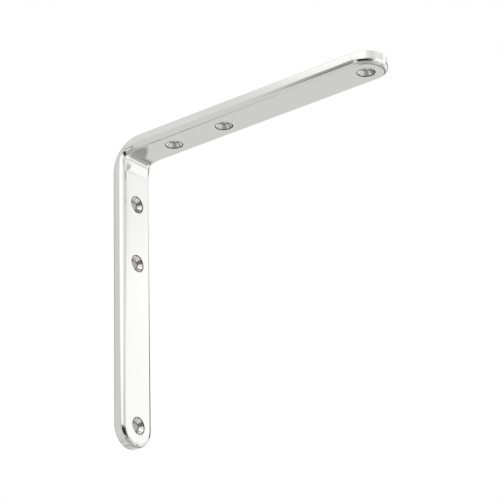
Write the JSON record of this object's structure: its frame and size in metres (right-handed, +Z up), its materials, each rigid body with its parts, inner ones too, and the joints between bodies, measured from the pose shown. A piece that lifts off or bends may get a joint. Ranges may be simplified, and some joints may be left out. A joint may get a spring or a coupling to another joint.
{
  "type": "l-bracket",
  "caption": "Mirror-polished stainless steel L-bracket: a flat bar with round ends and a right-angle bend, with countersunk screw holes in both legs.",
  "frame": {"origin": "where the axis of the wall leg's upper screw hole meets the wall face", "axes": "+Z up, -X into the wall, +X out along the shelf leg, Y across the bar; the wall leg runs down -Z and the bracket is symmetric about the plane y = 0"},
  "size_m": [0.15, 0.02, 0.15],
  "materials": {
    "polished_stainless": "mirror polished"
  },
  "bodies": {
    "root": {"bracket": "polished_stainless"}
  },
  "joints": []
}
